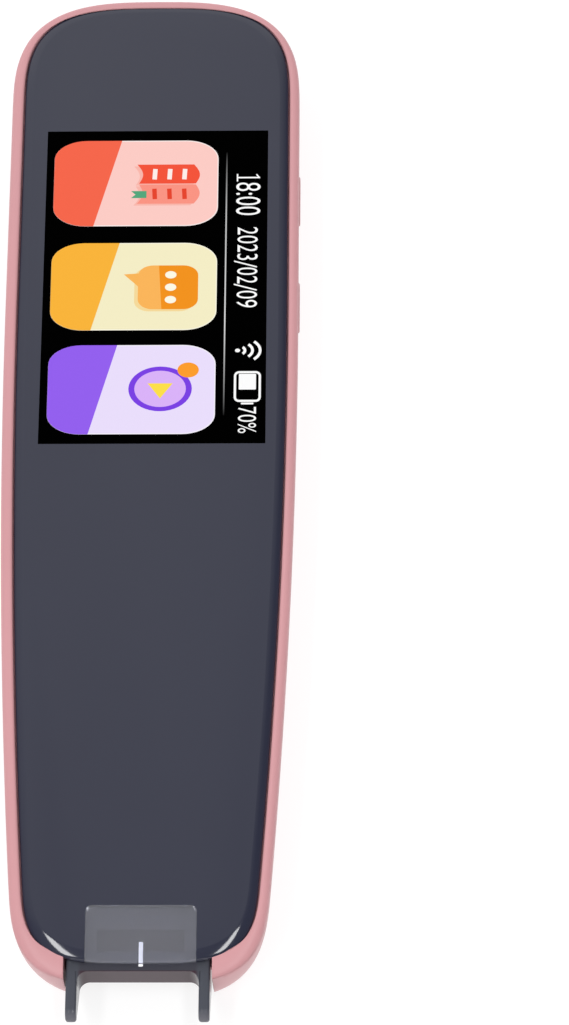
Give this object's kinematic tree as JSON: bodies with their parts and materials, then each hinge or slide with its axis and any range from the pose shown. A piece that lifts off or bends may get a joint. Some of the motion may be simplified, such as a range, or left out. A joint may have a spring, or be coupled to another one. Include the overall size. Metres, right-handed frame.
{
  "type": "scan reading pen",
  "caption": "Flat scan reading pen with a full-length dark cover, a colour display, a sprung two-legged scanning nib and two side keys, in a satin pink case.",
  "frame": {"origin": "on the plane of the flat back, under the cover's middle line, 81.5 mm from the case's top end and 83.5 mm from the nib's tips", "axes": "+Z out of the screen, -Y towards the scanning nib, +Y towards the charging port, +X the side with the two keys"},
  "size_m": [0.0449, 0.165, 0.013],
  "materials": {
    "pink_case": "satin",
    "cover": "polished",
    "dark_film": "satin",
    "smoked_clear": "polished",
    "white_print": "satin",
    "display_glass": "polished",
    "display_image": "satin",
    "white_plastic": "satin",
    "black_plastic": "satin",
    "circuit_board": "satin",
    "amber_flex": "satin",
    "steel": "satin",
    "battery_foil": "satin",
    "black_rubber": "matte",
    "red_wire": "satin",
    "lamp": "satin",
    "lens": "polished"
  },
  "bodies": {
    "case": {"back_shell": "pink_case", "front_frame": "pink_case", "cover_glass": "cover", "cover_film": "dark_film", "mid_frame": "steel", "case_screw_1": "steel", "case_screw_2": "steel", "case_screw_3": "steel", "case_screw_4": "steel", "touch_sensor": "display_glass", "lcd_panel": "display_glass", "lcd_backlight": "white_plastic", "lcd_flex": "amber_flex", "main_board": "circuit_board", "processor_shield": "steel", "memory_chip": "black_plastic", "power_chip": "black_plastic", "wireless_module": "steel", "antenna_flex": "amber_flex", "usb_c_shell": "steel", "usb_c_tongue": "black_plastic", "board_screw_1": "steel", "board_screw_2": "steel", "battery_cell": "battery_foil", "battery_tape": "dark_film", "battery_lead_red": "red_wire", "battery_lead_black": "black_plastic", "battery_plug": "white_plastic", "battery_socket": "white_plastic", "speaker_mesh": "dark_film", "speaker_gasket": "black_rubber", "speaker_cone": "dark_film", "speaker_body": "black_plastic", "microphone_boot": "black_rubber", "microphone": "steel", "camera_board": "circuit_board", "camera_housing": "black_plastic", "camera_barrel": "black_plastic", "camera_lens": "lens", "camera_flex": "amber_flex", "lamp_board": "circuit_board", "lamp_left": "lamp", "lamp_right": "lamp", "nib_guide": "white_plastic", "nib_switch": "black_plastic", "nib_spring_left": "steel", "nib_spring_right": "steel", "side_key_board": "circuit_board", "power_switch": "steel", "home_switch": "steel"},
    "nib": {"scan_nib": "smoked_clear", "index_mark": "white_print", "nib_carriage": "black_plastic", "nib_plunger": "black_plastic"},
    "power_button": {"power_key": "pink_case", "power_switch_plunger": "black_plastic"},
    "home_button": {"home_key": "pink_case", "home_switch_plunger": "black_plastic"}
  },
  "joints": [
    {"name": "nib_press", "type": "slide", "parent": "case", "child": "nib", "axis": [0, 1, 0], "range_m": [0, 0.001], "stiffness_N_per_m": 300, "springref_m": -0.0005, "deforming": ["nib_spring_left", "nib_spring_right"]},
    {"name": "power_key_press", "type": "slide", "parent": "case", "child": "power_button", "axis": [-1, 0, 0], "range_m": [0, 0.0004], "stiffness_N_per_m": 1000, "springref_m": -0.0004},
    {"name": "home_key_press", "type": "slide", "parent": "case", "child": "home_button", "axis": [-1, 0, 0], "range_m": [0, 0.0004], "stiffness_N_per_m": 1000, "springref_m": -0.0004}
  ]
}
